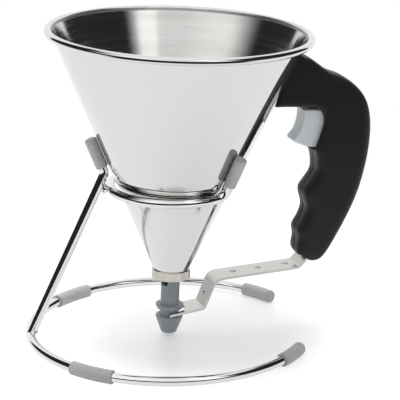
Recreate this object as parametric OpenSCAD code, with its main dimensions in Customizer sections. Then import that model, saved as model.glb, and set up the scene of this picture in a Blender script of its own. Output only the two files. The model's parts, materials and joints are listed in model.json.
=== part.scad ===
// Batter dispenser: a spun steel hopper with a lever-worked nozzle valve,
// a pistol handle with a trigger, and a wire stand that the hopper lifts out of.
// +X points to the handle, +Z up; the origin is on the table, under the middle
// of the whole object. Millimetres.

/* [Hopper] */
// Outer radius of the cone in the plane of the rim
hopper_r = 93.4; // [80:0.1:115]
// Depth of the cone, from the rim plane to the collar
hopper_depth = 177.2; // [150:0.1:215]
// Outer radius of the cone where it meets the collar
outlet_r = 13.7; // [12:0.1:17]
// Thickness of the spun sheet
hopper_wall = 0.9; // [0.6:0.1:1.5]
// Outer radius of the rolled rim bead
bead_r = 2.8; // [2:0.1:4]
// How far the seated hopper leans towards its handle, in degrees
hopper_lean = 2.1; // [0:0.1:3]
// Height of the nozzle tip above the table
tip_height = 2.3; // [1:0.1:10]

/* [Outlet collar and valve] */
// How far the collar stands out from the cone's end
collar_step = 0.4; // [0:0.1:1]
// Height of the collar under the cone
collar_h = 7.6; // [6:0.1:12]
// Outer radius of the nozzle tube
tube_r = 7; // [6:0.1:7.2]
// Radius of the bore, from the tip up to the windows
nozzle_bore_r = 4.2; // [3:0.1:4.8]
// How much wider the bore is beside the windows, on the radius
throat_step = 0.4; // [0.2:0.1:0.8]
// Radial play of the tube in the collar
tube_play = 0.1; // [0.05:0.01:0.3]
// Length of the tube, from the collar's underside to the flange
tube_reach = 21.5; // [17:0.1:28]
// Radius of the flange above the fork
flange_r = 10.6; // [9:0.1:12]
// Thickness of the flange at its edge
flange_h = 3.6; // [2:0.1:6]
// Height of the groove that the fork lies in
groove_h = 5; // [4.8:0.1:8]
// Radius of the tip's shoulder, under the groove
tip_r = 10.3; // [8:0.1:11]
// Length of the tapered tip
tip_h = 13.9; // [8:0.1:20]
// Width of the two windows that let batter into the tube
window_w = 7; // [4:0.1:8]
// Height of the windows
window_h = 10.8; // [8:0.1:14]
// Outer radius of the valve's head and seal
head_r = 8.9; // [8:0.1:9.2]
// Height of the valve's head above its seal
head_h = 6; // [4:0.1:10]
// Thickness of the rubber seal
seal_h = 1.5; // [1:0.1:2.5]
// Height of the seal above its seat at rest
seat_gap = 0.2; // [0.05:0.05:0.3]

/* [Handle] */
// Width of the handle across its two shells
handle_w = 26; // [24:0.5:32]
// Width of the slot that the trigger moves in
slot_w = 17; // [16.6:0.1:20]
// Play between the slot's walls and the trigger, on each side
trigger_play = 0.5; // [0.3:0.1:1]
// Thickness of the bracket plate on the cone
plate_t = 1.5; // [1:0.1:2.5]
// Thickness of the bracket's tongue between the shells
tongue_t = 2.5; // [2:0.1:4]
// Radius of the screws' shanks
screw_r = 1.5; // [1.2:0.1:2]

/* [Lever] */
// Width of the fork and the long arm
lever_w = 20.5; // [18:0.5:21]
// Thickness of the lever's strip
strip_t = 2; // [1.5:0.1:2.5]
// Width of the strip inside the grip
arm_w = 14; // [12:0.5:16]
// Play of the fork's slot round the nozzle's neck
fork_play = 0.4; // [0.3:0.1:1]
// Radius of the pivot pin
pin_r = 2; // [1.5:0.1:2.5]
// Radial running clearance on the pivot pin
pin_play = 0.05; // [0.02:0.01:0.1]
// Radius of the strip's lightening holes
hole_r = 2.6; // [1.5:0.1:3]
// Wire radius of the return spring
spring_wire_r = 0.5; // [0.4:0.1:0.6]
// Gap between the return spring's coil and the bush, and between the coil and the strip
coil_play = 0.2; // [0.1:0.1:0.4]

/* [Stand] */
// Radius of the wire
rod_r = 3.5; // [2.5:0.1:4]
// Radius of the base ring, to the middle of its wire
base_r = 104.7; // [95:0.1:127]
// How far the base ring is set back from the hopper's axis
base_back = 3.6; // [0:0.1:10]
// Depth below the rim at which the cradle holds the hopper
cradle_depth = 114; // [105:0.5:125]
// Gap between the cradle's wire and the seated hopper, in front and behind
cradle_play = 0.6; // [0.3:0.1:2]
// How far the cradle is set back from the hopper's axis
cradle_back = 0.6; // [0:0.1:2]
// Turn of the stand about the vertical, seen from the handle
stand_turn = -7.3; // [-15:0.1:15]
// Angle from the stand's middle to the front and back posts
post_spread = 49; // [42:1:58]
// Half the angle of the base ring's open side
open_angle = 33; // [25:1:40]
// Outer radius of the foot sleeves and end caps
foot_r = 5; // [4.5:0.1:6]
// Outer radius of the sleeves on the posts
sleeve_r = 4.5; // [4.2:0.1:5.5]
// Gap between the post sleeves and the hopper at rest
seat_play = 0.2; // [0.1:0.05:0.5]

/* [Hidden] */
$fn = 64;
joint_gap = 0.05;    // between parts that are fixed to each other
press_gap = 0.02;    // round pins, rivets and threads in their tight holes
screw_play = 0.1;    // round a screw's shank in a hole that it passes through
bend_lap = 0.3;      // how far a straight stretch of wire reaches into a bend
bend_step = 0.02;    // how much thinner the wire is drawn in a bend
steel = [0.80, 0.80, 0.79];
satin = [0.72, 0.72, 0.70];
black = [0.12, 0.12, 0.12];
grey_plastic = [0.43, 0.47, 0.49];
pale_plastic = [0.66, 0.69, 0.71];
sleeve_grey = [0.70, 0.71, 0.70];

// ---- the cone: depth t is measured down from the rim plane, along the axis
cone_slope = (hopper_r - outlet_r) / hopper_depth;
cone_angle = atan(cone_slope);
function cone_r(t) = hopper_r - cone_slope * t;
wall_across = hopper_wall / cos(cone_angle);
bead_at = hopper_r + bead_r;

// ---- depths of the valve's parts
collar_end = hopper_depth + collar_h;
seat_t = hopper_depth + 1.8;
seal_end = seat_t - seat_gap;
seal_top = seal_end - seal_h;
window_top = seat_t + 1.2;
flange_top = collar_end + tube_reach;
flange_end = flange_top + flange_h;
tip_top = flange_end + groove_h;
tip_end = tip_top + tip_h;
tip_mouth_r = nozzle_bore_r + 0.9;
window_turn = 208;
throat_r = nozzle_bore_r + throat_step;
bore_from = window_top + window_h + 1;
collar_r = outlet_r + collar_step;

// ---- the hopper's place over the stand
cradle_z = tip_height + (tip_end - cradle_depth) * cos(hopper_lean)
    + (tip_mouth_r + 1) * sin(hopper_lean);

// ---- the handle, in the plane y = 0 of the hopper: x from the axis, z from the rim.
// hand_x is where its own outline starts: the cone's surface 35 mm below the rim.
hand_x = cone_r(35);

// Each point of an outline is [x, z, dx, dz]: a place on the silhouette, and the
// way from it to the edge of the flat side.
back_curve = [
    [10, -14, 1, -3], [16.6, -17.2, 0, -4], [21.3, -18.6, -1, -4.5], [29.7, -24.4, -3, -5],
    [37.7, -29.4, -2.5, -6], [48, -33, -2, -6.5], [58.7, -40.2, -4, -6], [66.4, -49.1, -6, -4],
    [70.7, -60, -7, -1.5], [72.4, -75, -7, 0], [71.1, -95.9, -7, 0.5], [65.8, -120.5, -6.5, 2],
    [57.8, -141.2, -6, 3], [46, -163.6, -5, 3], [40, -172.3, -3.5, 4], [36.2, -175.2, -2, 4.5],
    [31, -175.9, 0, 4.5], [24.2, -174.8, 2.5, 4.5]
];
finger_curve = [
    [24.2, -174.8, 2.5, 4.5], [20.2, -170.6, 5, 2], [18.6, -166, 6, 0], [19.6, -158.4, 6, 0],
    [18.4, -150.6, 6, 0], [22.6, -142.6, 6, 0], [24.8, -133.6, 6, 0], [21.6, -121.8, 6.5, 0],
    [25.6, -114.6, 6.5, 0], [30.4, -107.3, 6, 0], [31, -100.2, 5, 0], [29.8, -93, 4, 0],
    [27.4, -88, 2.5, -1]
];
notch_curve = [
    [27.4, -88, 2.5, -1], [30.6, -78, 2, 0], [33.2, -68, 2, 0], [32.6, -61.5, 2, 1],
    [29, -56.6, 1, 2], [23, -54.8, 0, 2]
];
head_corners = [
    [-5.4, -54.3, 2, 2], [-1, -39.6, 2, 0], [-9, -32, 2, 0], [-9, -20, 2, 0], [2, -14, 2, -2]
];
function on_hand(list) = [for (p = list) [p[0] + hand_x, p[1], p[2], p[3]]];
handle_outline = on_hand(backwards(concat(
    curve(back_curve, 3), rest_of(curve(finger_curve, 4)), rest_of(curve(notch_curve, 3)), head_corners
)));

trigger_face = [
    [17.4, -57.5, 2, -1], [17.8, -62, 2, 0], [17, -69, 2, 0], [14.6, -75.5, 2, 0], [11.2, -80, 2, 1],
    [12.6, -82.3, 2, 2], [23.3, -86.4, 0, 2]
];
trigger_back_x = 34.6;
trigger_outline = on_hand(concat(
    [[trigger_back_x, -87, 0, 2], [trigger_back_x, -57.5, 0, -2]], curve(trigger_face, 4)));

// ---- the lever's strip, as the knees of its middle line
upright_x = hand_x + trigger_back_x + joint_gap + strip_t / 2;
knee_out = [hand_x + 20.4, -180.3];
rise = 47;
knee_in = [upright_x, knee_out[1] + (upright_x - knee_out[0]) * tan(rise)];
fold_top = [32.7, -hopper_depth - 9.2];
fold_low = [24.4, -hopper_depth - 31.5];
fork_tip = [-2.4, -hopper_depth - 36.2];
strip_bend_r = 4;
fold_bends = [0, 2.5, 8, strip_bend_r, 0];
arm_top = -61;
slot_root = 12;
bush_r = pin_r + 1.2;
coil_r = bush_r + coil_play + spring_wire_r;
pivot_off = coil_r + spring_wire_r + coil_play + strip_t / 2;
pivot_x = upright_x - pivot_off;
pivot_z = knee_in[1] + pivot_off * tan((90 - rise) / 2);
ear_r = 5;
ear_t = 1.5;
pin_l = handle_w - 4;

// ---- screws through the shells: [x from hand_x, z]
bracket_screws = [[6.6, -42.4], [11.5, -31.5]];
grip_screws = [[58, -60], [50.5, -136]];
shell_screws = concat(bracket_screws, grip_screws);
screw_head_r = 2.9;
screw_head_h = 2;
screw_sink = 3;

// ---- the row's origin: under the middle of the object, along X
far_x = max([
    for (p = handle_outline) p[0] * cos(hopper_lean) + (p[1] + cradle_depth) * sin(hopper_lean)
]);
near_x = -base_back * cos(stand_turn) - base_r - rod_r;
axis_x = -(far_x + near_x) / 2;

// ---- the stand
base_z = foot_r;
post_off = (sleeve_r + seat_play) / cos(cone_angle);
function post_r(t) = cone_r(t) + post_off;
leg_turn = 180 + stand_turn;
front_turn = stand_turn - post_spread;
back_turn = stand_turn + post_spread;
leg_knee_t = 104;
leg_span = [78.4, 99.6];
post_span = [81, 103];
leg_bend_r = 6;
post_bend_r = 8;
lead_bend_r = 24;
leg_foot = base_point(leg_turn);
leg_knee = post_point(leg_turn, leg_knee_t);
weld_gap = 0.05;
sleeve_end_t = 1.6;
sleeve_round = 1.5;
wire_end_t = sleeve_end_t + bend_lap + joint_gap;
leg_at_cradle = leg_foot + (leg_knee - leg_foot) * (cradle_z - leg_foot[2]) / (leg_knee[2] - leg_foot[2]);
cradle_r = cone_r(cradle_depth) + (rod_r + cradle_play) / cos(cone_angle);
weld_r = 2.6;
lead_in = 24;
foot_from = 41;
foot_to = 59.5;
cap_from = 31.2;
cap_to = 46.6;

// ================= helpers =================

// A smooth curve through points of any dimension
function blend_at(a, b, c, d, s) = 0.5 * (2 * b + (c - a) * s + (2 * a - 5 * b + 4 * c - d) * s * s
    + (3 * b - a - 3 * c + d) * s * s * s);
function curve(p, steps) = [
    for (i = [0 : len(p) - 2]) for (k = [0 : steps - 1])
        blend_at(p[max(i - 1, 0)], p[i], p[i + 1], p[min(i + 2, len(p) - 1)], k / steps),
    p[len(p) - 1]
];
function rest_of(list) = [for (i = [1 : len(list) - 1]) list[i]];
function backwards(list) = [for (i = [len(list) - 1 : -1 : 0]) list[i]];
function unit(v) = v / norm(v);

// A point of the hopper's own frame, in the object's frame
function to_row(p) = [
    axis_x + p[0] * cos(hopper_lean) + (p[2] + cradle_depth) * sin(hopper_lean),
    p[1],
    cradle_z - p[0] * sin(hopper_lean) + (p[2] + cradle_depth) * cos(hopper_lean)
];
// Depth at which a post's line, followed down, comes to the cradle's height
function level_t(turn) =
    let (k = cos(turn) * tan(hopper_lean))
    (cradle_depth - k * (hopper_r + post_off)) / (1 - k * cone_slope);
function post_point(turn, t) = to_row([post_r(t) * cos(turn), post_r(t) * sin(turn), -t]);
function base_point(turn) = [
    axis_x - base_back * cos(stand_turn) + base_r * cos(turn),
    -base_back * sin(stand_turn) + base_r * sin(turn),
    base_z
];
cradle_centre = [axis_x - cradle_back * cos(stand_turn), -cradle_back * sin(stand_turn), cradle_z];
function cradle_point(turn) = cradle_centre + cradle_r * [cos(turn), sin(turn), 0];

module in_hopper() {
    translate([axis_x, 0, cradle_z]) rotate([0, hopper_lean, 0])
        translate([0, 0, cradle_depth]) children();
}

// The rounded outer corner of a turned end: its greatest radius, its height, the rounding
function round_corner(r, h, e) = [for (a = [0 : 15 : 90]) [r - e + e * cos(a), h - e + e * sin(a)]];

// The triangles of a flat outline that runs against the clock, cut off ear by ear
function turns_left(a, b, c) = (b[0] - a[0]) * (c[1] - a[1]) - (b[1] - a[1]) * (c[0] - a[0]);
function holds(a, b, c, p) = turns_left(a, b, p) >= 0 && turns_left(b, c, p) >= 0 && turns_left(c, a, p) >= 0;
function is_ear(p, left, k) =
    let (n = len(left), a = left[(k + n - 1) % n], b = left[k], c = left[(k + 1) % n])
    turns_left(p[a], p[b], p[c]) > 0
        && len([for (q = left) if (q != a && q != b && q != c && holds(p[a], p[b], p[c], p[q])) q]) == 0;
function next_ear(p, left, k) = is_ear(p, left, k) ? k : next_ear(p, left, k + 1);
function ears(p, left) = len(left) == 3 ? [left] :
    let (n = len(left), k = next_ear(p, left, 0))
    concat(
        [[left[(k + n - 1) % n], left[k], left[(k + 1) % n]]],
        ears(p, [for (i = [0 : n - 1]) if (i != k) left[i]])
    );

// A body of the given half width whose outline, which runs against the clock, is drawn in
// with round edges towards its flat sides. One side only starts on the plane y = 0.
module round_edged(outline, half, both) {
    n = len(outline);
    bends = both ? [for (a = [-90 : 18 : 90]) a] : concat([-1], [for (a = [0 : 15 : 90]) a]);
    rings = [for (a = bends) [for (p = outline)
        let (e = norm([p[2], p[3]]), c = 1 - cos(a), s = half - e * (1 - sin(abs(a))))
            (!both && a < 0) ? [p[0], 0, p[1]]
                : [p[0] + p[2] * c, (a < 0 ? -1 : 1) * s, p[1] + p[3] * c]
    ]];
    last = len(rings) - 1;
    every = [for (i = [0 : n - 1]) i];
    polyhedron(
        points = [for (r = rings) each r],
        faces = concat(
            [for (f = ears([for (q = rings[0]) [q[0], q[2]]], every)) [f[2], f[1], f[0]]],
            [for (f = ears([for (q = rings[last]) [q[0], q[2]]], every)) [for (i = f) last * n + i]],
            [for (j = [0 : last - 1]) for (i = every) let (k = (i + 1) % n)
                each [[j * n + i, j * n + k, (j + 1) * n + i], [(j + 1) * n + i, j * n + k, (j + 1) * n + k]]]
        ),
        convexity = 10
    );
}

// A flat figure in x and z, made thick across y
module across(width) {
    rotate([90, 0, 0]) linear_extrude(height = width, center = true) children();
}

// A straight rod, and a bent one with a radius at each inner point
module rod(a, b, r) {
    d = b - a;
    translate(a) rotate([0, acos(d[2] / norm(d)), atan2(d[1], d[0])]) cylinder(h = norm(d), r = r);
}
function turn_at(p, i) = acos(unit(p[i] - p[i - 1]) * unit(p[i + 1] - p[i]));
function cut_at(p, r, i) = (i == 0 || i == len(p) - 1) ? 0 : r[i] * tan(turn_at(p, i) / 2);
module bend(a, v, b, bend_r, r) {
    u = unit(v - a);
    w = unit(b - v);
    angle = acos(u * w);
    side = unit(w - (u * w) * u);
    start = v - u * bend_r * tan(angle / 2);
    centre = start + side * bend_r;
    ez = cross(-side, u);
    multmatrix([
        [-side[0], u[0], ez[0], centre[0]],
        [-side[1], u[1], ez[1], centre[1]],
        [-side[2], u[2], ez[2], centre[2]],
        [0, 0, 0, 1]
    ]) rotate_extrude(angle = angle) translate([bend_r, 0]) circle(r - bend_step);
}
module bent_rod(p, bends, r) {
    for (i = [0 : len(p) - 2]) {
        d = unit(p[i + 1] - p[i]);
        from = p[i] + d * (cut_at(p, bends, i) - bend_lap);
        to = p[i + 1] - d * (cut_at(p, bends, i + 1) - bend_lap);
        rod(from, to, r);
    }
    for (i = [1 : len(p) - 2]) bend(p[i - 1], p[i], p[i + 1], bends[i], r);
}

// The outline of a flat strip of thickness t that follows a bent line
function arc_pts(a, v, b, bend_r) =
    let (u = unit(v - a), w = unit(b - v), angle = acos(u * w), side = unit(w - (u * w) * u),
        start = v - u * bend_r * tan(angle / 2), centre = start + side * bend_r)
    [for (k = [0 : 6]) centre - side * bend_r * cos(angle * k / 6) + u * bend_r * sin(angle * k / 6)];
function bent_line(p, bends) = [
    p[0],
    for (i = [1 : len(p) - 2]) each arc_pts(p[i - 1], p[i], p[i + 1], bends[i]),
    p[len(p) - 1]
];
function line_normal(p, i) =
    let (d = unit(p[min(i + 1, len(p) - 1)] - p[max(i - 1, 0)])) [-d[1], d[0]];
function strip_outline(p, t) = concat(
    [for (i = [0 : len(p) - 1]) p[i] + line_normal(p, i) * t / 2],
    [for (i = [len(p) - 1 : -1 : 0]) p[i] - line_normal(p, i) * t / 2]
);

// ================= hopper =================

module hopper() {
    color(steel) in_hopper() {
        rotate_extrude($fn = 128) polygon([
            [hopper_r, 0], [outlet_r, -hopper_depth],
            [outlet_r - wall_across, -hopper_depth], [hopper_r - wall_across, 0]
        ]);
        rotate_extrude($fn = 128) translate([bead_at - wall_across, 0]) difference() {
            circle(bead_r);
            circle(bead_r - hopper_wall);
            translate([-bead_r, -bead_r]) square([bead_r * 0.7, bead_r * 0.7]);
        }
    }
}

// A fine groove parts the collar from the cone
groove_in = 0.5;
collar_top = hopper_depth + 0.8;
module outlet_collar() {
    color(steel) in_hopper() rotate_extrude($fn = 128) polygon([
        [tube_r + tube_play, -seat_t], [head_r + 0.4, -seat_t],
        [outlet_r - wall_across, -hopper_depth - joint_gap],
        [outlet_r - groove_in, -hopper_depth - joint_gap], [outlet_r - groove_in, -collar_top],
        [collar_r - 0.3, -collar_top], [collar_r, -collar_top - 0.3],
        [collar_r, -collar_end + 0.5], [collar_r - 0.5, -collar_end],
        [tube_r + tube_play, -collar_end]
    ]);
}

// ================= valve =================

flange_low_r = flange_r - 1.1;
module nozzle() {
    color(grey_plastic) in_hopper() difference() {
        rotate_extrude($fn = 96) polygon([
            [throat_r, -seal_top - joint_gap], [tube_r, -seal_top - joint_gap], [tube_r, -flange_top],
            [flange_r - 0.7, -flange_top], [flange_r - 0.2, -flange_top - 0.2], [flange_r, -flange_top - 0.7],
            [flange_low_r, -flange_end + 0.3], [flange_low_r - 0.3, -flange_end],
            [tube_r, -flange_end], [tube_r, -tip_top],
            [tip_r - 1, -tip_top], [tip_r - 0.3, -tip_top - 0.3], [tip_r, -tip_top - 1],
            [tip_r - 0.4, -tip_top - 2.8], [tip_mouth_r + 1.2, -tip_end + 1.6],
            [tip_mouth_r + 0.8, -tip_end + 0.5], [tip_mouth_r, -tip_end], [nozzle_bore_r, -tip_end],
            [nozzle_bore_r, -bore_from], [throat_r, -bore_from]
        ]);
        for (turn = [0, 180]) rotate([0, 0, window_turn + turn]) window();
    }
}
module window() {
    corner = 1.5;
    translate([0, 0, -window_top - window_h]) rotate([90, 0, 90]) linear_extrude(height = tube_r + 1) {
        translate([-window_w / 2, corner]) square([window_w, window_h - corner]);
        translate([-window_w / 2 + corner, 0]) square([window_w - 2 * corner, window_h]);
        for (s = [-1, 1]) translate([s * (window_w / 2 - corner), corner]) circle(corner);
    }
}
module valve_head() {
    color(grey_plastic) in_hopper() rotate_extrude($fn = 96) polygon([
        [0, -seal_top - 2.2], [throat_r - joint_gap, -seal_top - 2.2],
        [throat_r - joint_gap, -seal_top],
        [head_r, -seal_top], [head_r, -seal_top + 2], [head_r - 1.2, -seal_top + 3.2],
        [4, -seal_top + head_h - 1.4], [2.4, -seal_top + head_h - 0.3], [0, -seal_top + head_h]
    ]);
}
module valve_seal() {
    color(black) in_hopper() rotate_extrude($fn = 96) polygon([
        [tube_r + joint_gap, -seal_end], [head_r - 0.5, -seal_end], [head_r, -seal_end + 0.5],
        [head_r, -seal_top - joint_gap], [tube_r + joint_gap, -seal_top - joint_gap]
    ]);
}

// ================= handle =================

plate_from = 12;
plate_to = 65;
plate_foot = joint_gap / cos(cone_angle);
plate_across = plate_t / cos(cone_angle);
tongue_at = 36;
module on_cone(t) {
    translate([cone_r(t), 0, -t]) rotate([0, cone_angle, 0]) children();
}
module tongue(play) {
    on_cone(tongue_at) translate([plate_t / 2, -tongue_t / 2 - play, -8 - play])
        cube([14.5 + play, tongue_t + 2 * play, 22 + 2 * play]);
}
module screw_holes(places, r, from, to) {
    for (p = places) translate([hand_x + p[0], from, p[1]]) rotate([-90, 0, 0])
        cylinder(h = to - from, r = r);
}
module handle_bracket() {
    color(satin) in_hopper() difference() {
        union() {
            intersection() {
                rotate_extrude($fn = 128) polygon([
                    [cone_r(plate_from) + plate_foot, -plate_from],
                    [cone_r(plate_from) + plate_foot + plate_across, -plate_from],
                    [cone_r(plate_to) + plate_foot + plate_across, -plate_to],
                    [cone_r(plate_to) + plate_foot, -plate_to]
                ]);
                translate([0, -handle_w / 2, -plate_to]) cube([hopper_r + 10, handle_w, plate_to]);
            }
            tongue(0);
        }
        screw_holes(bracket_screws, screw_r + screw_play, -tongue_t, tongue_t);
    }
}

// The room that the lever and the trigger move in
module lever_space() {
    x = hand_x;
    across(slot_w) polygon([
        [x + 5, -55.4], [x + 49, -55.4], [x + 49, -76], [x + 41, -152], [x + 41, -160],
        [x + 33.4, -160], [x + 33.4, -96], [x + 30, -88.8], [x + 5, -88.8]
    ]);
    across(lever_w + 1) polygon([
        [x + 12, -190], [x + 21.3, -171.5], [x + 23.2, -155], [x + 40.6, -155], [x + 40.6, -163],
        [x + 29.6, -172.5], [x + 18, -190]
    ]);
}
module half_handle() {
    difference() {
        round_edged(handle_outline, handle_w / 2, false);
        lever_space();
        translate([0, 0, -100]) cylinder(
            h = 100,
            r1 = cone_r(100) + plate_foot + plate_across + plate_foot,
            r2 = cone_r(0) + plate_foot + plate_across + plate_foot
        );
        tongue(joint_gap);
        translate([pivot_x, -1, pivot_z]) rotate([-90, 0, 0])
            cylinder(h = pin_l / 2 + 1 + joint_gap, r = pin_r + press_gap);
    }
}
module handle_shell_left() {
    color(black) in_hopper() difference() {
        mirror([0, 1, 0]) half_handle();
        screw_holes(shell_screws, screw_r + press_gap, -7, 1);
    }
}
module handle_shell_right() {
    color(black) in_hopper() difference() {
        half_handle();
        screw_holes(shell_screws, screw_r + screw_play, -1, handle_w / 2 + 1);
        screw_holes(shell_screws, screw_head_r + 0.2, handle_w / 2 - screw_sink, handle_w / 2 + 1);
    }
}
module handle_screws() {
    seat = handle_w / 2 - screw_sink;
    color(satin) in_hopper() difference() {
        union() {
            screw_holes(shell_screws, screw_r, -6, seat + 0.5);
            screw_holes(shell_screws, screw_head_r, seat, seat + screw_head_h);
        }
        for (p = shell_screws) translate([hand_x + p[0], seat + screw_head_h, p[1]])
            for (turn = [0, 90]) rotate([0, turn, 0]) cube([3.2, 1.6, 0.7], center = true);
    }
}
module lever_pivot_pin() {
    color(steel) in_hopper() translate([pivot_x, -pin_l / 2, pivot_z]) rotate([-90, 0, 0])
        cylinder(h = pin_l, r = pin_r);
}

// ================= lever =================

rivet_r = 1.5;
rivet_z = [-66, -79];
arm_holes = [12.3, -9.3, -29.2];
fold_hole = fold_low + (fold_top - fold_low) * 0.44;
fold_tilt = 180 - atan2(fold_top[1] - fold_low[1], fold_top[0] - fold_low[0]);
module lever_arm() {
    way_up = [cos(rise), sin(rise)];
    outer = bent_line([fork_tip, fold_low, fold_top, knee_out, knee_out + 13 * way_up], fold_bends);
    inner = bent_line([knee_out + 10 * way_up, knee_in, [upright_x, arm_top]], [0, strip_bend_r, 0]);
    color(satin) in_hopper() difference() {
        union() {
            across(lever_w) polygon(strip_outline(outer, strip_t));
            across(arm_w) polygon(strip_outline(inner, strip_t));
            for (s = [-1, 1]) translate([0, s * (arm_w - ear_t) / 2, 0]) across(ear_t) {
                translate([pivot_x, pivot_z]) circle(ear_r);
                polygon([
                    [pivot_x, pivot_z + ear_r], [upright_x, pivot_z + ear_r], [upright_x, pivot_z],
                    knee_in, knee_in - 4 * way_up, [pivot_x - 1, pivot_z - ear_r + 0.2]
                ]);
            }
        }
        fork_slot();
        for (x = arm_holes) translate([hand_x + x, 0, -hopper_depth - 16]) cylinder(h = 20, r = hole_r);
        translate([fold_hole[0], 0, fold_hole[1]]) rotate([0, fold_tilt, 0])
            cylinder(h = 12, r = hole_r, center = true);
        translate([pivot_x, 0, pivot_z]) rotate([90, 0, 0])
            cylinder(h = arm_w + 2, r = pin_r + pin_play, center = true);
        for (z = rivet_z) translate([upright_x, 0, z]) rotate([0, 90, 0])
            cylinder(h = 8, r = rivet_r + press_gap, center = true);
    }
}
module fork_slot() {
    half = tube_r + fork_play;
    translate([slot_root - half, 0, fork_tip[1] - 10]) cylinder(h = 20, r = half);
    translate([slot_root - half - 30, -half, fork_tip[1] - 10]) cube([30, 2 * half, 20]);
}
module pivot_bush() {
    l = arm_w - 2 * ear_t - 0.2;
    color(steel) in_hopper() translate([pivot_x, 0, pivot_z]) rotate([90, 0, 0]) difference() {
        cylinder(h = l, r = bush_r, center = true);
        cylinder(h = l + 1, r = pin_r + pin_play, center = true);
    }
}
module trigger() {
    color(pale_plastic) in_hopper() difference() {
        round_edged(trigger_outline, slot_w / 2 - trigger_play, true);
        for (z = rivet_z) translate([upright_x - 12, 0, z]) rotate([0, 90, 0])
            cylinder(h = 14, r = rivet_r + press_gap);
    }
}
module trigger_rivets() {
    color(steel) in_hopper() for (z = rivet_z) translate([upright_x, 0, z]) rotate([0, 90, 0]) {
        translate([0, 0, -11]) cylinder(h = 11 + strip_t / 2 + 0.5, r = rivet_r);
        translate([0, 0, strip_t / 2 + joint_gap]) cylinder(h = 1, r = rivet_r + 1.2);
    }
}

// The return spring is a coil round the bush, with one leg along the strip and one
// towards the front wall of the grip.
coil_turns = 3;
coil_pitch = 1.7;
coil_start = 162;
coil_end = rise - 90 - 360 * coil_turns;
function coil_at(a) = [
    pivot_x + coil_r * cos(a),
    coil_pitch * ((coil_start - a) / 360 - (coil_start - coil_end) / 720),
    pivot_z + coil_r * sin(a)
];
function coil_way(a) = [sin(a), 0, -cos(a)];
coil_step = 18;
coil_path = concat(
    [coil_at(coil_start) - 8 * coil_way(coil_start)],
    [for (a = [coil_start : -coil_step : coil_end]) coil_at(a)],
    [coil_at(coil_end) + coil_way(coil_end), coil_at(coil_end) + 9 * coil_way(coil_end)]
);
module tube_along(path, r, sides) {
    n = len(path);
    pts = [for (i = [0 : n - 1])
        let (t = unit(path[min(i + 1, n - 1)] - path[max(i - 1, 0)]))
        let (a = unit(cross(t, [0, 1, 0])), b = cross(a, t))
            for (k = [0 : sides - 1]) path[i] + r * (cos(360 * k / sides) * a + sin(360 * k / sides) * b)];
    polyhedron(points = pts, faces = concat(
        [[for (k = [0 : sides - 1]) k]],
        [[for (k = [sides - 1 : -1 : 0]) (n - 1) * sides + k]],
        [for (i = [0 : n - 2]) for (k = [0 : sides - 1]) let (m = (k + 1) % sides)
            each [[i * sides + k, (i + 1) * sides + k, i * sides + m],
                  [i * sides + m, (i + 1) * sides + k, (i + 1) * sides + m]]]
    ), convexity = 10);
}
module return_spring() {
    color(steel) in_hopper() tube_along(coil_path, spring_wire_r, 8);
}

// ================= stand =================

module stand_turned() {
    translate([axis_x - base_back * cos(stand_turn), -base_back * sin(stand_turn), base_z])
        rotate([0, 0, stand_turn]) children();
}
module foot_sleeve(from, to) {
    color(sleeve_grey) stand_turned() rotate([0, 0, from]) rotate_extrude(angle = to - from, $fn = 128)
        translate([base_r, 0]) difference() {
            circle(foot_r);
            circle(rod_r + joint_gap);
        }
}
module base_ring() {
    color(steel) stand_turned() rotate([0, 0, open_angle])
        rotate_extrude(angle = 360 - 2 * open_angle, $fn = 128) translate([base_r, 0]) circle(rod_r);
}
// The leg, with the weld that holds the cradle to it
module stand_leg() {
    top = post_point(leg_turn, leg_span[0] + wire_end_t);
    color(steel) difference() {
        union() {
            bent_rod([leg_foot, leg_knee, top], [0, leg_bend_r, 0], rod_r);
            rod(leg_at_cradle, cradle_point(leg_turn), weld_r);
        }
        translate(cradle_centre) rotate([0, 0, leg_turn - 20]) rotate_extrude(angle = 40, $fn = 128)
            translate([cradle_r, 0]) circle(rod_r + weld_gap);
        stand_turned() rotate([0, 0, 170]) rotate_extrude(angle = 20, $fn = 128)
            translate([base_r, 0]) circle(rod_r + weld_gap);
    }
}
lead_turn = post_spread + lead_in;
lead_l = lead_bend_r * 0.3;
module cradle_side(s) {
    turn = stand_turn + s * post_spread;
    arc_end = stand_turn + s * lead_turn;
    foot = post_point(turn, level_t(turn));
    way = s * [sin(arc_end), -cos(arc_end), 0];
    start = cradle_point(arc_end);
    top = post_point(turn, post_span[0] + wire_end_t);
    bent_rod([start, start + way * lead_l, foot, top], [0, lead_bend_r, post_bend_r, 0], rod_r);
}
module cradle_wire() {
    color(steel) {
        translate(cradle_centre) rotate([0, 0, stand_turn + lead_turn])
            rotate_extrude(angle = 360 - 2 * lead_turn, $fn = 128) translate([cradle_r, 0])
                circle(rod_r - bend_step);
        for (s = [-1, 1]) cradle_side(s);
    }
}
// A sleeve on a post, closed at its top by a round-edged end
module post_sleeve(turn, span) {
    top = post_point(turn, span[0]);
    low = post_point(turn, span[1]);
    d = top - low;
    l = norm(d);
    color(sleeve_grey) translate(low) rotate([0, acos(d[2] / l), atan2(d[1], d[0])])
        rotate_extrude($fn = 64) polygon(concat(
            [[rod_r + joint_gap, 0], [sleeve_r - 0.3, 0], [sleeve_r, 0.3]],
            round_corner(sleeve_r, l, sleeve_round),
            [[0, l], [0, l - sleeve_end_t], [rod_r + joint_gap, l - sleeve_end_t]]
        ));
}
cap_end_l = 2.8;
cap_round = 1.8;
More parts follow.
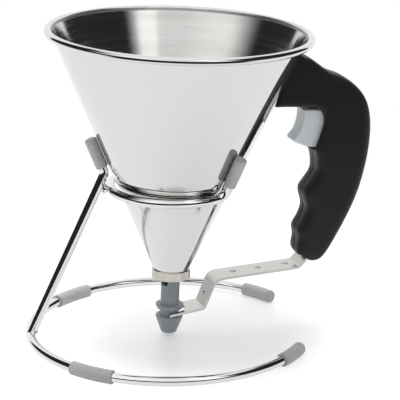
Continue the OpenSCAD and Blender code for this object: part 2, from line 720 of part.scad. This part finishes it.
// The cap on one end of the base ring; a short round-edged plug closes it
module end_cap(side) {
    nose = cap_from + cap_end_l / base_r * 180 / PI;
    color(sleeve_grey) stand_turned() mirror([0, side < 0 ? 1 : 0, 0]) {
        difference() {
            rotate([0, 0, nose]) rotate_extrude(angle = cap_to - nose, $fn = 128)
                translate([base_r, 0]) circle(foot_r);
            rotate([0, 0, open_angle]) rotate_extrude(angle = cap_to - nose, $fn = 128)
                translate([base_r, 0]) circle(rod_r + joint_gap);
        }
        rotate([0, 0, nose]) translate([base_r, bend_lap, 0]) rotate([90, 0, 0]) rotate_extrude($fn = 64)
            polygon(concat(
                [[0, 0], [foot_r - bend_step, 0]],
                round_corner(foot_r - bend_step, cap_end_l, cap_round),
                [[0, cap_end_l]]
            ));
    }
}

hopper();
outlet_collar();
handle_bracket();
handle_shell_left();
handle_shell_right();
handle_screws();
lever_pivot_pin();
trigger();
trigger_rivets();
lever_arm();
pivot_bush();
return_spring();
nozzle();
valve_head();
valve_seal();
base_ring();
stand_leg();
cradle_wire();
post_sleeve(leg_turn, leg_span);  // post_sleeve_left
post_sleeve(front_turn, post_span);  // post_sleeve_front
post_sleeve(back_turn, post_span);  // post_sleeve_back
foot_sleeve(180 + foot_from, 180 + foot_to);  // foot_sleeve_front
foot_sleeve(180 - foot_to, 180 - foot_from);  // foot_sleeve_back
end_cap(-1);  // end_cap_front
end_cap(1);  // end_cap_back
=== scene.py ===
# %% [markdown]
# # A batter dispenser on its wire stand
#
# A steel funnel holds the batter, a trigger in the handle lifts the nozzle, and the whole funnel
# stands in a frame of bent wire. The rigid pieces come from a CAD model, which fixes every size
# and every joint. This script gives them their finishes, adds what the CAD model leaves out, and
# sets up the studio.

# %% Load the CAD model
import json
import math

import bmesh
import bpy
from mathutils import Matrix, Vector


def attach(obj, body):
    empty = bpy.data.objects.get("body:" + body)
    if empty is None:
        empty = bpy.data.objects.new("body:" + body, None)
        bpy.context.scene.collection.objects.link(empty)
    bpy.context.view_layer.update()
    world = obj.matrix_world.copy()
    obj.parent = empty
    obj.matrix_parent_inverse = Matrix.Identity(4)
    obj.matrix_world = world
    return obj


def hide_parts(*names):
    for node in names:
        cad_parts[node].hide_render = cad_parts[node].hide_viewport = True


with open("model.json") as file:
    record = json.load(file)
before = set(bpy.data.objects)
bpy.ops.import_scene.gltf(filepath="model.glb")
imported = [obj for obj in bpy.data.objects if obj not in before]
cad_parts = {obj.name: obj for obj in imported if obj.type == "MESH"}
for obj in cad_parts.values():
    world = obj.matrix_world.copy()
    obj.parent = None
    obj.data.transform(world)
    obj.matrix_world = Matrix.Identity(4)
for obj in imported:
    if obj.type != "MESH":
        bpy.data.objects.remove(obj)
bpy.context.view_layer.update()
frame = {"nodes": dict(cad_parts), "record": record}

record = frame["record"]
nodes = frame["nodes"]
bpy.ops.object.select_all(action="DESELECT")
print("pieces from the CAD model:", len(nodes))

# %% [markdown]
# ## The camera
#
# A small product is best seen from well back with a long lens, which keeps the rim's ellipse flat.
# The camera is given as a place, two angles and a slight roll, because those can be set one at a
# time on a tripod. A Track To constraint would do the same with an empty as a target, but it
# couldn't hold the roll.

# %% The camera
view_from = Vector((-0.3621, -1.2323, 0.5019))
view_down = math.radians(17.2)
view_turn = math.radians(-16.385)
view_roll = math.radians(0.3)
focal_mm = 162.55
sensor_mm = 36.0

ahead = Vector((
    -math.sin(view_turn) * math.cos(view_down),
    math.cos(view_turn) * math.cos(view_down),
    -math.sin(view_down),
))
level_right = Vector((math.cos(view_turn), math.sin(view_turn), 0))
level_up = level_right.cross(ahead)
right = math.cos(view_roll) * level_right + math.sin(view_roll) * level_up
up = math.cos(view_roll) * level_up - math.sin(view_roll) * level_right

camera_data = bpy.data.cameras.new("camera")
camera_data.lens = focal_mm
camera_data.sensor_width = sensor_mm
camera = bpy.data.objects.new("camera", camera_data)
camera.matrix_world = Matrix((
    (right.x, up.x, -ahead.x, view_from.x),
    (right.y, up.y, -ahead.y, view_from.y),
    (right.z, up.z, -ahead.z, view_from.z),
    (0, 0, 0, 1),
))
bpy.context.scene.collection.objects.link(camera)
bpy.context.scene.camera = camera
bpy.context.scene.view_settings.view_transform = "Standard"
print("camera looks down", round(math.degrees(view_down), 1), "degrees")

# %% [markdown]
# ## Shader maths in Python
#
# A finish is mostly arithmetic on coordinates: how far a point is from an axis, how strong a
# scratch is there. Wired by hand that becomes a wall of Math nodes. Here one small class wraps a
# socket and gives it Python's operators, so that an expression such as `1 - mask` adds its own
# nodes. Every other node comes from `Graph.add`.

# %% A socket with operators, and a graph that makes nodes
class Socket:
    """An output of a node, which can be added to, multiplied and so on."""

    def __init__(self, graph, node, output=0):
        self.graph, self.node = graph, node
        self.source = node.outputs[output] if node.outputs else None

    def out(self, name):
        return Socket(self.graph, self.node, name)

    def maths(self, operation, *others):
        return self.graph.maths(operation, self, *others)

    def __add__(self, other):
        return self.maths("ADD", other)

    def __sub__(self, other):
        return self.maths("SUBTRACT", other)

    def __mul__(self, other):
        return self.maths("MULTIPLY", other)

    def __rsub__(self, other):
        return self.graph.maths("SUBTRACT", other, self)

    __radd__ = __add__
    __rmul__ = __mul__


class Graph:
    """The nodes of one material or world."""

    def __init__(self, tree):
        self.tree = tree
        tree.nodes.clear()

    def add(self, kind, settings=None, sockets=None, output=0):
        """Adds a node. Its settings are set first, then the values or links of its sockets."""
        node = self.tree.nodes.new(kind)
        for name, value in (settings or {}).items():
            setattr(node, name, value)
        for name, value in (sockets or {}).items():
            if isinstance(value, Socket):
                self.tree.links.new(value.source, node.inputs[name])
            else:
                node.inputs[name].default_value = value
        return Socket(self, node, output)

    def maths(self, operation, *values):
        return self.add("ShaderNodeMath", {"operation": operation}, dict(enumerate(values)))

    def brightest(self, value, *others):
        for other in others:
            value = self.maths("MAXIMUM", value, other)
        return value

    def step(self, value, low, high):
        """0 below low, 1 above high, and a smooth rise between them."""
        return self.add(
            "ShaderNodeMapRange", {"interpolation_type": "SMOOTHSTEP"},
            {"Value": value, "From Min": low, "From Max": high},
        )

    def band(self, value, low, high, soft):
        """1 between low and high and 0 outside, with edges that reach soft to either side."""
        rise = self.step(value, low - soft, low + soft)
        return rise * (1 - self.step(value, high - soft, high + soft))

    def mix_colour(self, factor, a, b):
        return self.add(
            "ShaderNodeMix", {"data_type": "RGBA"}, {0: factor, 6: a, 7: b}, output=2)

    def mix_shader(self, factor, a, b):
        return self.add("ShaderNodeMixShader", None, {0: factor, 1: a, 2: b})

    def separate(self, vector):
        parts = self.add("ShaderNodeSeparateXYZ", None, {0: vector})
        return parts.out("X"), parts.out("Y"), parts.out("Z")

    def combine(self, x, y, z):
        return self.add("ShaderNodeCombineXYZ", None, {0: x, 1: y, 2: z})

    def noise(self, vector, scale, detail, roughness=0.5):
        return self.add(
            "ShaderNodeTexNoise", None,
            {"Vector": vector, "Scale": scale, "Detail": detail, "Roughness": roughness},
        )

    def bump(self, height, distance, strength, normal=None):
        sockets = {"Height": height, "Distance": distance, "Strength": strength}
        if normal is not None:
            sockets["Normal"] = normal
        return self.add("ShaderNodeBump", None, sockets)


print("Socket and Graph are ready")

# %% [markdown]
# ## The studio
#
# Polished steel has no look of its own: it shows the room. The room here is a white table under a
# white ceiling, in front of a white wall. Lights hang high on the camera's side, with the dark of
# the studio below and beside them, and that dark draws the thin black lines along bright wire. The
# room is painted into the world by direction, for reflected rays only. Lamps with real shapes
# would do it too, but each would also change how the rest is lit. The camera sees plain white, and
# rough surfaces are lit from all round, a little more from behind.

# %% The world, by direction
back_turn = math.atan2(-ahead.y, -ahead.x)

# Angles in degrees. Turn 0 is the camera's side, and a pair is where an edge starts and ends.
wall_edge = (133, 139)
softbox_left = (-62, -44)
softbox_right = (50, 92)
softbox_swell = (-5, 45)
strip_span = (-48, -27)
strip_soft = 4
lights_low = (17, 25)
ceiling_edge = (50, 60)
far_floor_sides = (50, 75)
far_floor_top = (-9, -3)
behind_edge = (50, 150)

# Strengths, where 1 is white.
softbox_strength = 0.97
swell_gain = 0.2
strip_gain = 0.45
dark_strength = 0.02
fill_strength = 0.55
behind_gain = 0.5


def background(graph, strength):
    return graph.add("ShaderNodeBackground", None, {"Color": (1, 1, 1, 1), "Strength": strength})


def paint_room():
    world = bpy.data.worlds.new("studio")
    world.use_nodes = True
    graph = Graph(world.node_tree)
    x, y, z = graph.separate(graph.add("ShaderNodeTexCoord", output="Generated"))
    towards = x * math.cos(back_turn) + y * math.sin(back_turn)
    aside = x * math.sin(back_turn) - y * math.cos(back_turn)
    turn = graph.maths("ARCTAN2", aside, towards) * math.degrees(1)
    height = graph.maths("ARCSINE", z) * math.degrees(1)
    around = graph.maths("ABSOLUTE", turn)

    wall = graph.step(around, *wall_edge)
    softbox = graph.step(turn, *softbox_left) * (1 - graph.step(turn, *softbox_right))
    softbox = softbox * (softbox_strength + swell_gain * graph.step(turn, *softbox_swell))
    strip_light = strip_gain * graph.band(turn, *strip_span, strip_soft)
    front = (softbox + strip_light) * graph.step(height, *lights_low)
    ceiling = graph.step(height, *ceiling_edge)
    far_floor = graph.step(around, *far_floor_sides) * (1 - graph.step(height, *far_floor_top))

    room = background(graph, graph.brightest(wall, front, ceiling, far_floor, dark_strength))
    plain = background(graph, fill_strength + behind_gain * graph.step(around, *behind_edge))
    white = background(graph, 1.0)
    rays = graph.add("ShaderNodeLightPath")
    lit = graph.mix_shader(rays.out("Is Glossy Ray"), plain, room)
    seen = graph.maths("MAXIMUM", rays.out("Is Camera Ray"), rays.out("Is Transmission Ray"))
    graph.add("ShaderNodeOutputWorld", None, {"Surface": graph.mix_shader(seen, lit, white)})
    bpy.context.scene.world = world


paint_room()
print("the room's wall starts", wall_edge[0], "degrees round from the camera")

# %% [markdown]
# ## Table and lamp
#
# The table is a round top, because a rectangle would show its corners in the steel. Its material
# adds light of its own, by kind of ray. The steel sees an almost even white, which keeps the cone's
# side even. The camera sees soft pale shadows under the object, and they fade to white further out.
# A stronger lamp would whiten the table as well, but it would brighten the whole object with it.

# %% The table and the key light
table_radius = 0.40
glow_strength = 1.2
glow_seen = 0.30
glow_mirrored = 0.75
shadow_fade = (0.06, 0.125)
key_watts = 9.5
key_across = 0.7


def table_finish():
    material = bpy.data.materials.new("white_table")
    material.use_nodes = True
    graph = Graph(material.node_tree)
    paint = graph.add("ShaderNodeBsdfPrincipled", None, {
        "Base Color": (0.92, 0.92, 0.95, 1), "Roughness": 0.30, "Specular IOR Level": 0.5,
    })
    rays = graph.add("ShaderNodeLightPath")
    glow = graph.add("ShaderNodeEmission", None, {
        "Color": (1, 1, 1, 1), "Strength": 1 + (glow_strength - 1) * rays.out("Is Camera Ray"),
    })
    x, y, _ = graph.separate(graph.add("ShaderNodeTexCoord", output="Object"))
    edge = graph.step(graph.maths("SQRT", x * x + y * y), *shadow_fade)
    seen = rays.out("Is Camera Ray") * (glow_seen + (1 / glow_strength - glow_seen) * edge)
    glowing = seen + rays.out("Is Glossy Ray") * glow_mirrored
    graph.add("ShaderNodeOutputMaterial", None, {"Surface": graph.mix_shader(glowing, paint, glow)})
    return material


bpy.ops.mesh.primitive_circle_add(vertices=96, radius=table_radius, fill_type="NGON")
table = bpy.context.active_object
table.name = "table"
table.data.materials.append(table_finish())

key_place = Vector((-0.14, 0.28, 1.35))
key_data = bpy.data.lights.new("key", "AREA")
key_data.shape = "DISK"
key_data.size = key_across
key_data.energy = key_watts
key = bpy.data.objects.new("key", key_data)
key.location = key_place
key.rotation_euler = (-key_place).to_track_quat("-Z", "Y").to_euler()
key.visible_glossy = False
bpy.context.scene.collection.objects.link(key)
print("table radius", table_radius, "m, key light", round(key_place.length, 2), "m away")

# %% [markdown]
# ## Coordinates on the funnel
#
# Spinning leaves marks that run round the funnel, so its finish has to know where the funnel's
# axis is. The axis comes from the CAD model's mount at the mouth. A Mapping node of the Texture
# kind turns Object coordinates into the funnel's own: z along the axis, zero at the rim.

# %% The funnel's own coordinates
mounts = {mount["name"]: mount for mount in record["mounts"]}
mouth = Vector(mounts["hopper_mouth"]["pos_m"])
axis = Vector(mounts["hopper_mouth"]["axis"])
lean = math.atan2(axis.x, axis.z)


def on_funnel(graph):
    place = graph.add("ShaderNodeTexCoord", output="Object")
    return graph.add(
        "ShaderNodeMapping", {"vector_type": "TEXTURE"},
        {"Vector": place, "Location": mouth, "Rotation": (0, lean, 0)},
    )


def new_finish(name):
    material = bpy.data.materials.new(name)
    material.use_nodes = True
    return material, Graph(material.node_tree)


def finish_off(graph, shader):
    graph.add("ShaderNodeOutputMaterial", None, {"Surface": shader})


def principled(graph, **sockets):
    named = {name.replace("_", " "): value for name, value in sockets.items()}
    return graph.add("ShaderNodeBsdfPrincipled", None, named)


print("the funnel leans", round(math.degrees(lean), 2), "degrees")

# %% [markdown]
# ## Spun steel, polished outside and brushed inside
#
# One sheet has two finishes. Outside it is buffed to a mirror with a trace of the spinning tool's
# rings. Inside it is brushed round and round, and such fine grooves smear a reflection up and down
# but not sideways, which gives the tall bands of light and dark. The two finishes are two shaders,
# mixed by whether a point lies within the sheet's middle surface. Two materials on two sets of
# faces would do too, but the sheet's mesh is left as it came. On the inner side of the rolled rim
# the brushing goes on as far as roll_radius, and it is rougher there.
#
# Every mark comes from noise on stretched coordinates. Stretching the axis by 900 puts a mark about
# every 1.1 mm along it, and stretching the other two by only 8 lets the mark change slowly as it
# runs round.

# %% Spun steel
rim_radius = 0.0934
wall_slope = 0.4498
half_wall = 0.0005
roll_radius = 0.0930

# Heights along the axis, zero at the mouth, over which the roll starts and the duller tip ends.
roll_start = (-0.0010, 0.0002)
tip_end = (-0.124, -0.112)

steel_colour = (0.72, 0.72, 0.715, 1)
tip_colour = (0.76, 0.755, 0.74, 1)
brush_dark = (0.60, 0.595, 0.58, 1)
brush_pale = (0.70, 0.695, 0.68, 1)


def spun_steel():
    material, graph = new_finish("spun_steel")
    x, y, z = graph.separate(on_funnel(graph))
    radius = graph.maths("SQRT", x * x + y * y)
    sheet = rim_radius - half_wall + wall_slope * z
    inside = graph.maths("LESS_THAN", radius, graph.maths("MINIMUM", sheet, roll_radius))

    def marks(across, along, detail=3.0, roughness=0.6):
        stretched = graph.combine(x * across, y * across, z * along)
        return graph.noise(stretched, 1.0, detail, roughness)

    rings = marks(8, 900)
    drift = marks(5, 40, 2.0, 0.5)
    mirror_normal = graph.bump(rings, 0.000006, 0.5, graph.bump(drift, 0.0004, 0.25))
    at_tip = 1 - graph.step(z, *tip_end)
    mirror = principled(
        graph, Base_Color=graph.mix_colour(at_tip, steel_colour, tip_colour), Metallic=1.0,
        Roughness=0.035 + 0.05 * drift + 0.03 * at_tip, Normal=mirror_normal,
    )

    grooves = marks(6, 420)
    patches = marks(10, 120)
    shade = graph.mix_colour(graph.step(patches + 0.4 * grooves, 0.45, 0.95), brush_dark, brush_pale)
    on_roll = graph.step(z, *roll_start)
    brushed = principled(
        graph, Base_Color=shade, Metallic=1.0, Roughness=0.07 + 0.16 * grooves + 0.40 * on_roll,
        Anisotropic=0.9, Anisotropic_Rotation=0.25, Normal=graph.bump(grooves, 0.00002, 0.06),
    )
    finish_off(graph, graph.mix_shader(inside, mirror, brushed))
    return material


spun = spun_steel()
print("spun steel, its wall", 2000 * half_wall, "mm across")

# %% [markdown]
# ## Wire, collar and strip
#
# The stand's wire is drawn and polished, so it is nearly a mirror with slight waves in it. The
# collar is a turned part, of a warmer and duller metal than the cone. The strip is cut from rolled
# sheet, whose fine lines run along it. Each is a metal with its own roughness and a faint bump from
# noise on Object coordinates. A picture of scratches would need a UV map, and it would repeat.

# %% Wire, collar and strip
def polished_wire():
    material, graph = new_finish("polished_wire")
    place = graph.add("ShaderNodeTexCoord", output="Object")
    drift = graph.noise(place, 90, 2.0)
    normal = graph.bump(drift, 0.0002, 0.15)
    finish_off(graph, principled(
        graph, Base_Color=(0.80, 0.795, 0.78, 1), Metallic=1.0, Roughness=0.03 + 0.05 * drift,
        Normal=normal,
    ))
    return material


def collar_steel():
    material, graph = new_finish("collar_steel")
    wear = graph.noise(graph.add("ShaderNodeTexCoord", output="Object"), 400, 2.0)
    finish_off(graph, principled(
        graph, Base_Color=(0.63, 0.61, 0.55, 1), Metallic=1.0, Roughness=0.14 + 0.10 * wear,
        Normal=graph.bump(wear, 0.00002, 0.5),
    ))
    return material


def satin_strip():
    material, graph = new_finish("satin_strip")
    x, y, z = graph.separate(graph.add("ShaderNodeTexCoord", output="Object"))
    lines = graph.noise(graph.combine(x * 60, y * 2400, z * 60), 1.0, 3.0, 0.6)
    finish_off(graph, principled(
        graph, Base_Color=(0.60, 0.595, 0.575, 1), Metallic=1.0, Roughness=0.20 + 0.14 * lines,
        Normal=graph.bump(lines, 0.00001, 0.6),
    ))
    return material


wire = polished_wire()
collar = collar_steel()
strip = satin_strip()
print("metals:", spun.name, wire.name, collar.name, strip.name)

# %% [markdown]
# ## Moulded plastics
#
# The grip, the trigger, the nozzle and the soft sleeves are all moulded. A moulded skin has a fine
# grain, which breaks up its gloss, and its colour clouds a little. One function makes them all from
# a colour, a roughness and a grain, because five functions would say the same thing five times.

# %% Moulded plastics
cloud_scale = 45
gloss_spread = 0.12


def moulded(name, colour, roughness, grain_mm, grain_depth, specular=0.5, tone=0.15):
    material, graph = new_finish(name)
    place = graph.add("ShaderNodeTexCoord", output="Object")
    grain = graph.noise(place, 1000 / grain_mm, 3.0, 0.6)
    cloud = graph.noise(place, cloud_scale, 2.0)
    dark = tuple(c * (1 - tone) for c in colour) + (1,)
    pale = tuple(min(1, c * (1 + tone)) for c in colour) + (1,)
    finish_off(graph, principled(
        graph, Base_Color=graph.mix_colour(cloud, dark, pale),
        Roughness=roughness + gloss_spread * (grain - 0.5),
        Specular_IOR_Level=specular, Normal=graph.bump(grain, grain_depth, 0.6),
    ))
    return material


grip = moulded("grip_black", (0.015, 0.015, 0.0155), 0.46, 0.5, 0.00004, 0.3)
finger = moulded("trigger_grey", (0.76, 0.81, 0.83), 0.42, 0.6, 0.00002, tone=0.06)
tube = moulded("nozzle_grey", (0.285, 0.33, 0.345), 0.38, 0.6, 0.00002, tone=0.08)
sleeve = moulded("sleeve_grey", (0.49, 0.495, 0.485), 0.5, 0.8, 0.00003)
seal = moulded("seal_black", (0.02, 0.02, 0.02), 0.6, 0.5, 0.00003)
print("plastics:", grip.name, finger.name, tube.name, sleeve.name, seal.name)

# %% [markdown]
# ## A finish for every piece
#
# The screws, rivets, pin, bush and spring are small steel parts that nobody polishes, so they share
# the strip's finish. Each material could be set by hand in the Properties editor, one piece at a
# time. A dictionary does it in one place, where a missing piece is easy to spot. The five sleeves
# and two caps aren't named in it, and all take the soft grey.

# %% A finish for every piece
finishes = {
    "hopper": spun, "outlet_collar": collar, "handle_bracket": strip, "handle_shell_left": grip,
    "handle_shell_right": grip, "handle_screws": strip, "lever_pivot_pin": strip, "trigger": finger,
    "trigger_rivets": strip, "lever_arm": strip, "pivot_bush": strip, "return_spring": strip,
    "nozzle": tube, "valve_head": tube, "valve_seal": seal, "base_ring": wire, "stand_leg": wire,
    "cradle_wire": wire,
}
for name, piece in nodes.items():
    piece.data.materials.clear()
    piece.data.materials.append(finishes.get(name, sleeve))
print("finishes on", len(nodes), "pieces")

# %% [markdown]
# ## Weld beads on the stand
#
# The wires are joined by small welds, each a lumpy drop of metal in the crook between two rods. A
# sphere is the nearest primitive: a seeded Randomize Transform makes it lumpy, it is scaled to the
# shape of its joint, and a Subdivision Surface melts the lumps together again.

# %% Weld beads
lumpiness = 0.16
evenness = 0.4


def settle(piece, name, body, material):
    """Puts the piece's place into its mesh, and gives it its name, body and material."""
    bpy.ops.object.transform_apply(location=True, rotation=True, scale=True)
    piece.name = name
    piece.data.materials.clear()
    piece.data.materials.append(material)
    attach(piece, body)


def weld_bead(name, place, half_sizes, turn_deg, seed):
    bpy.ops.object.select_all(action="DESELECT")
    bpy.ops.mesh.primitive_uv_sphere_add(segments=16, ring_count=10, radius=1.0)
    bead = bpy.context.active_object
    bpy.ops.object.mode_set(mode="EDIT")
    bpy.ops.mesh.select_all(action="SELECT")
    bpy.ops.transform.vertex_random(offset=lumpiness, uniform=evenness, normal=1.0, seed=seed)
    bpy.ops.transform.resize(value=half_sizes, center_override=(0, 0, 0))
    bpy.ops.object.mode_set(mode="OBJECT")
    soften = bead.modifiers.new("soften", "SUBSURF")
    soften.levels = soften.render_levels = 1
    bpy.ops.object.modifier_apply(modifier=soften.name)
    bpy.ops.object.shade_smooth()
    bead.location = place
    bead.rotation_euler = (0, 0, math.radians(turn_deg))
    settle(bead, name, "stand", wire)


leg_turn = -7.3
weld_bead("weld_cradle", (-0.0714, 0.0066, 0.1170), (0.0026, 0.0036, 0.0040), leg_turn, 3)
weld_bead("weld_foot_front", (-0.1262, 0.0098, 0.0080), (0.0024, 0.0030, 0.0020), leg_turn, 5)
weld_bead("weld_foot_back", (-0.1252, 0.0178, 0.0080), (0.0024, 0.0030, 0.0020), leg_turn, 8)
weld_bead("weld_foot_inner", (-0.1238, 0.0134, 0.0078), (0.0022, 0.0034, 0.0022), leg_turn, 13)
print("weld beads: 4")

# %% [markdown]
# ## The fluted band on the collar
#
# The collar's edge is cut with fine upright flutes, which a thumb grips to unscrew it. A plain
# ring of many columns is the start. Every second column is scaled towards the axis, which turns
# the ring's outline into small ridges, and Solidify gives the ring its wall.

# %% The fluted band
flutes = 68
band_radius = 0.01438
flute_depth = 0.00026
band_wall = 0.0006

# How far down the funnel's axis from its mouth the band starts and ends.
band_top = 0.1787
band_end = 0.1849


def fluted_band():
    bpy.ops.object.select_all(action="DESELECT")
    bpy.ops.mesh.primitive_cylinder_add(
        vertices=2 * flutes, radius=band_radius, depth=band_end - band_top, end_fill_type="NOTHING")
    band = bpy.context.active_object
    bpy.ops.object.mode_set(mode="EDIT")
    bpy.ops.mesh.select_all(action="DESELECT")
    cage = bmesh.from_edit_mesh(band.data)
    for corner in cage.verts:
        column = round(math.atan2(corner.co.y, corner.co.x) / math.pi * flutes)
        corner.select = column % 2 == 1
    cage.select_flush(True)
    bmesh.update_edit_mesh(band.data)
    shrink = 1 - flute_depth / band_radius
    bpy.ops.transform.resize(value=(shrink, shrink, 1))
    bpy.ops.object.mode_set(mode="OBJECT")
    wall = band.modifiers.new("wall", "SOLIDIFY")
    wall.thickness = band_wall
    wall.offset = -1
    bpy.ops.object.modifier_apply(modifier=wall.name)
    band.location = mouth - axis * (band_top + band_end) / 2
    band.rotation_euler = (0, lean, 0)
    settle(band, "collar_flutes", "funnel", collar)


fluted_band()
print("flutes:", flutes)

# %% [markdown]
# ## The moulded grip, with soft edges
#
# The grip's shells come out of a mould with generous round edges, which a hand needs and a light
# shows. Bevelling every edge of the finger waves would be fiddly, and a voxel remesh followed by
# Smooth rounds them all alike, as the mould maker's cutter does. Two places have to stay crisp: the
# parting face, where the shells meet, and the end that butts on the bracket. A vertex group keeps
# Smooth away from both.

# %% Where the shells stay crisp
parting_edge = (0.0008, 0.0045)
bracket_edge = (0.004, 0.010)


def ramp(value, low, high):
    t = min(1, max(0, (value - low) / (high - low)))
    return t * t * (3 - 2 * t)


def off_cone(point):
    """How far a point is from the cone's outside, square to the funnel's axis."""
    from_mouth = point - mouth
    along = from_mouth.dot(axis)
    return (from_mouth - along * axis).length - (rim_radius + wall_slope * along)


def freedom(point):
    """How far Smooth may move a point: 0 on the two crisp places, 1 well away from them."""
    return ramp(abs(point.y), *parting_edge) * ramp(off_cone(point), *bracket_edge)


print("the parting face is kept to", 1000 * parting_edge[0], "mm on either side")

# %% Soft shells
merge_distance = 0.00001
voxel = 0.0008
smooth_rounds = 36


def merged_copy(node, name):
    bpy.ops.object.select_all(action="DESELECT")
    copy = nodes[node].copy()
    copy.data = nodes[node].data.copy()
    copy.name = name
    bpy.context.scene.collection.objects.link(copy)
    bpy.context.view_layer.objects.active = copy
    copy.select_set(True)
    bpy.ops.object.mode_set(mode="EDIT")
    bpy.ops.mesh.select_all(action="SELECT")
    bpy.ops.mesh.remove_doubles(threshold=merge_distance)
    bpy.ops.object.mode_set(mode="OBJECT")
    return copy


def soft_shell(node, name):
    shell = merged_copy(node, name)
    remesh = shell.modifiers.new("remesh", "REMESH")
    remesh.mode = "VOXEL"
    remesh.voxel_size = voxel
    bpy.ops.object.modifier_apply(modifier=remesh.name)
    free = shell.vertex_groups.new(name="free")
    for corner in shell.data.vertices:
        free.add([corner.index], freedom(corner.co), "REPLACE")
    smooth = shell.modifiers.new("smooth", "SMOOTH")
    smooth.factor = 0.5
    smooth.iterations = smooth_rounds
    smooth.vertex_group = free.name
    bpy.ops.object.modifier_apply(modifier=smooth.name)
    bpy.ops.object.shade_smooth()
    shell.data.materials.clear()
    shell.data.materials.append(grip)
    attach(shell, "funnel")
    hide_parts(node)
    print(name, "faces:", len(shell.data.polygons))


soft_shell("handle_shell_left", "grip_shell_left")
soft_shell("handle_shell_right", "grip_shell_right")
